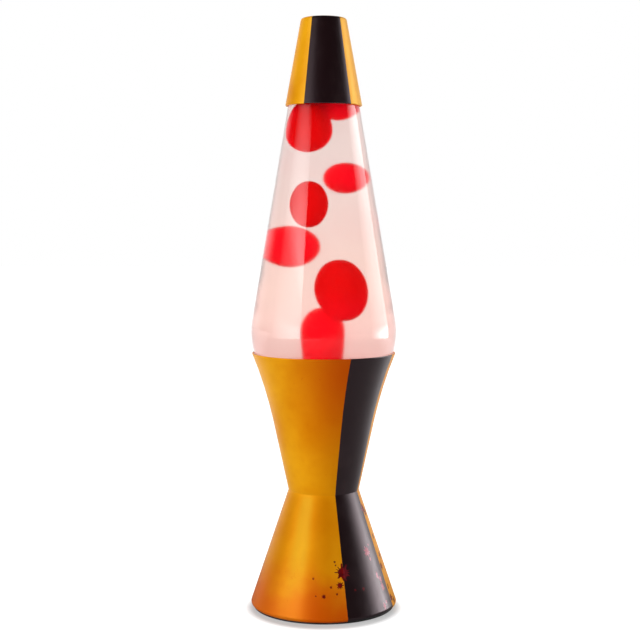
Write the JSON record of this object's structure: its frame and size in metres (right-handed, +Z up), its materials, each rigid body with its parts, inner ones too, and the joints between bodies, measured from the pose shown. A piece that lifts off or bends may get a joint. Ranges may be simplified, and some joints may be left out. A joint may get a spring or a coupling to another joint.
{
  "type": "lava lamp",
  "caption": "Table lamp with a tapered bottle of liquid and drifting wax blobs, held in a waisted metal base over a screw-in bulb, under a conical cap.",
  "frame": {"origin": "on the lamp's axis, at the surface its foot pads stand on", "axes": "+Z up along the lamp axis; -Y is the front, which carries the black stripe to the right of centre; the cord inlet is at +Y"},
  "size_m": [0.0918, 0.0918, 0.368],
  "materials": {
    "shell_paint": "satin lacquer, mottled gold with a black stripe",
    "plate_plastic": "moulded black",
    "pad_rubber": "matt",
    "grommet_rubber": "matt",
    "zinc_steel": "zinc plated",
    "socket_plastic": "moulded phenolic",
    "socket_brass": "pressed",
    "solder": "solder",
    "bulb_insulator": "black glass",
    "bulb_cap_metal": "pressed",
    "bulb_glass": "clear",
    "filament_wire": "drawn wire",
    "bottle_glass": "clear, polished",
    "bottle_liquid": "clear liquid with a faint warm haze",
    "wax": "soft wax",
    "coil_steel": "drawn wire",
    "crown_metal": "gold lacquered tinplate",
    "liner_plastic": "soft plastic"
  },
  "bodies": {
    "base": {"base_shell": "shell_paint", "bottom_plate": "plate_plastic", "foot_pads": "pad_rubber", "cord_grommet": "grommet_rubber", "mounting_yoke": "zinc_steel", "lamp_pipe": "zinc_steel", "pipe_nuts": "zinc_steel", "pipe_washers": "zinc_steel", "socket_body": "socket_plastic", "socket_screw_shell": "socket_brass", "socket_centre_contact": "socket_brass", "socket_terminal_screws": "socket_brass"},
    "bulb_contact": {"bulb_tip_contact": "solder"},
    "bulb": {"bulb_insulator": "bulb_insulator", "bulb_screw_base": "bulb_cap_metal", "bulb_glass": "bulb_glass", "bulb_stem": "bulb_glass", "bulb_lead_wires": "filament_wire", "bulb_filament": "filament_wire"},
    "globe": {"globe_glass": "bottle_glass", "globe_liquid": "bottle_liquid", "wax_pool": "wax", "heater_coil": "coil_steel", "crown_cap": "crown_metal", "crown_liner": "liner_plastic"},
    "cap": {"lamp_cap": "shell_paint"},
    "wax_blob_top_front_body": {"wax_blob_top_front": "wax"},
    "wax_blob_top_rear_body": {"wax_blob_top_rear": "wax"},
    "wax_blob_upper_right_body": {"wax_blob_upper_right": "wax"},
    "wax_blob_centre_body": {"wax_blob_centre": "wax"},
    "wax_blob_left_body": {"wax_blob_left": "wax"},
    "wax_blob_lower_front_body": {"wax_blob_lower_front": "wax"},
    "wax_blob_rising_body": {"wax_blob_rising": "wax"}
  },
  "joints": [
    {"name": "bulb_lift", "type": "slide", "parent": "base", "child": "bulb_contact", "axis": [0, 0, 1], "range_m": [0, 0.00847]},
    {"name": "bulb_turn", "type": "hinge", "parent": "bulb_contact", "child": "bulb", "pos_m": [0, 0, 0.0977], "axis": [0, 0, 1], "range_deg": [0, 1080]},
    {"name": "globe_lift", "type": "slide", "parent": "base", "child": "globe", "axis": [0, 0, 1], "range_m": [0, 0.04]},
    {"name": "cap_lift", "type": "slide", "parent": "globe", "child": "cap", "axis": [0, 0, 1], "range_m": [0, 0.045]},
    {"name": "wax_top_front_drift", "type": "slide", "parent": "globe", "child": "wax_blob_top_front_body", "axis": [0, 0, 1], "range_m": [-0.006, 0], "deforming": ["globe_liquid"]},
    {"name": "wax_top_rear_drift", "type": "slide", "parent": "globe", "child": "wax_blob_top_rear_body", "axis": [0, 0, 1], "range_m": [-0.0015, 0.0015], "deforming": ["globe_liquid"]},
    {"name": "wax_upper_right_drift", "type": "slide", "parent": "globe", "child": "wax_blob_upper_right_body", "axis": [0, 0, 1], "range_m": [-0.006, 0.006], "deforming": ["globe_liquid"]},
    {"name": "wax_centre_drift", "type": "slide", "parent": "globe", "child": "wax_blob_centre_body", "axis": [0, 0, 1], "range_m": [-0.007, 0.005], "deforming": ["globe_liquid"]},
    {"name": "wax_left_drift", "type": "slide", "parent": "globe", "child": "wax_blob_left_body", "axis": [0, 0, 1], "range_m": [-0.007, 0.007], "deforming": ["globe_liquid"]},
    {"name": "wax_lower_front_drift", "type": "slide", "parent": "globe", "child": "wax_blob_lower_front_body", "axis": [0, 0, 1], "range_m": [-0.003, 0.007], "deforming": ["globe_liquid"]},
    {"name": "wax_rising_drift", "type": "slide", "parent": "globe", "child": "wax_blob_rising_body", "axis": [0, 0, 1], "range_m": [-0.003, 0.006], "deforming": ["globe_liquid"]}
  ],
  "couplings": [
    {"joint": "bulb_lift", "follows": "bulb_turn", "m_per_rad": 0.00044882}
  ]
}
